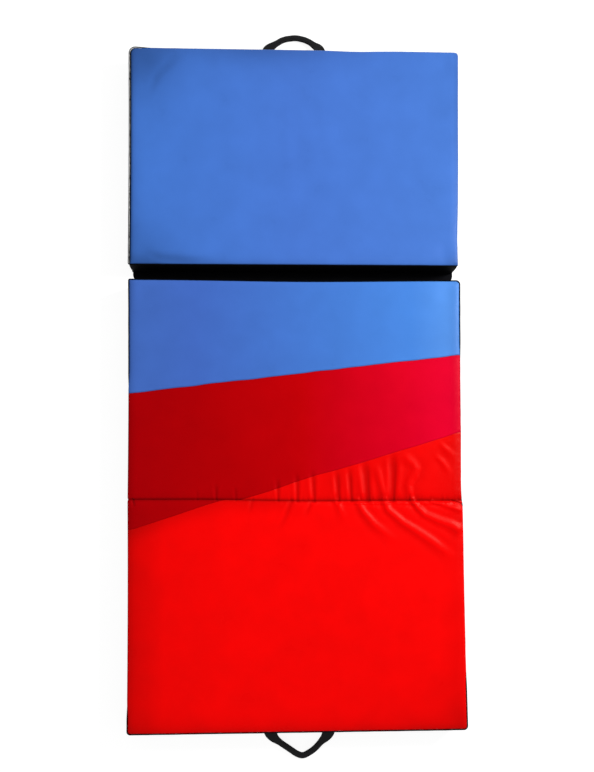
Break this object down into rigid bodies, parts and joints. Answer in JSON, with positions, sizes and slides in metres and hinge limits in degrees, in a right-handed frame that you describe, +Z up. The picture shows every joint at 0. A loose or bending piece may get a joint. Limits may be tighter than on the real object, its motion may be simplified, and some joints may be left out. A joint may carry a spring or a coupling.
{
  "type": "bouldering crash pad",
  "caption": "Folding landing pad of foam-filled fabric panels that fold like a Z, with zipped covers and a webbing carry handle at each end.",
  "frame": {"origin": "on the ground under the middle of the opened pad, its carry handles included", "axes": "+Z up from the ground, +Y along the pad from the foot panel to the head panel, +X across it"},
  "size_m": [1.0066, 2.2422, 0.1],
  "materials": {
    "blue_cover": "matte",
    "crimson_cover": "matte",
    "red_cover": "matte",
    "black_cover": "matte",
    "binding": "matte",
    "base_fabric": "satin",
    "closed_cell_foam": "matte",
    "open_cell_foam": "matte",
    "webbing": "matte",
    "zip_tape": "matte",
    "zip_teeth": "satin",
    "zip_slider": "satin"
  },
  "bodies": {
    "middle_panel": {"middle_top_blue": "blue_cover", "middle_top_crimson": "crimson_cover", "middle_top_red": "red_cover", "middle_side_band": "black_cover", "middle_base_cover": "base_fabric", "middle_top_binding": "binding", "middle_base_binding": "binding", "middle_landing_foam": "closed_cell_foam", "middle_core_foam": "open_cell_foam", "middle_support_foam": "closed_cell_foam", "middle_zip_tape": "zip_tape", "middle_zip_teeth": "zip_teeth", "middle_hinge_strip": "black_cover"},
    "head_panel": {"head_top_cover": "blue_cover", "head_side_band": "black_cover", "head_base_cover": "base_fabric", "head_top_binding": "binding", "head_base_binding": "binding", "head_landing_foam": "closed_cell_foam", "head_core_foam": "open_cell_foam", "head_support_foam": "closed_cell_foam", "head_zip_tape": "zip_tape", "head_zip_teeth": "zip_teeth", "head_hinge_strip": "black_cover", "head_handle_tab_left": "webbing", "head_handle_tab_right": "webbing"},
    "foot_panel": {"foot_top_crimson": "crimson_cover", "foot_top_red": "red_cover", "foot_side_band": "black_cover", "foot_base_cover": "base_fabric", "foot_top_binding": "binding", "foot_base_binding": "binding", "foot_landing_foam": "closed_cell_foam", "foot_core_foam": "open_cell_foam", "foot_support_foam": "closed_cell_foam", "foot_zip_tape": "zip_tape", "foot_zip_teeth": "zip_teeth", "foot_handle_tab_left": "webbing", "foot_handle_tab_right": "webbing"},
    "head_grip": {"head_handle": "webbing"},
    "foot_grip": {"foot_handle": "webbing"},
    "middle_slider": {"middle_zip_slider": "zip_slider"},
    "head_slider": {"head_zip_slider": "zip_slider"},
    "foot_slider": {"foot_zip_slider": "zip_slider"}
  },
  "joints": [
    {"name": "foot_fold", "type": "hinge", "parent": "foot_panel", "child": "middle_panel", "pos_m": [0, -0.34483, 0.1003], "axis": [1, 0, 0], "range_deg": [0, 180]},
    {"name": "head_fold", "type": "hinge", "parent": "middle_panel", "child": "head_panel", "pos_m": [0, 0.34342, -0.0003], "axis": [-1, 0, 0], "range_deg": [0, 180]},
    {"name": "head_handle_swing", "type": "hinge", "parent": "head_panel", "child": "head_grip", "pos_m": [0, 1.03752, 0.025], "axis": [1, 0, 0], "range_deg": [-63, 92]},
    {"name": "foot_handle_swing", "type": "hinge", "parent": "foot_panel", "child": "foot_grip", "pos_m": [0, -1.03018, 0.025], "axis": [-1, 0, 0], "range_deg": [-63, 92]},
    {"name": "middle_zip", "type": "slide", "parent": "middle_panel", "child": "middle_slider", "axis": [0, -1, 0], "range_m": [0, 0.5275]},
    {"name": "head_zip", "type": "slide", "parent": "head_panel", "child": "head_slider", "axis": [0, -1, 0], "range_m": [0, 0.529]},
    {"name": "foot_zip", "type": "slide", "parent": "foot_panel", "child": "foot_slider", "axis": [0, -1, 0], "range_m": [0, 0.541]}
  ]
}
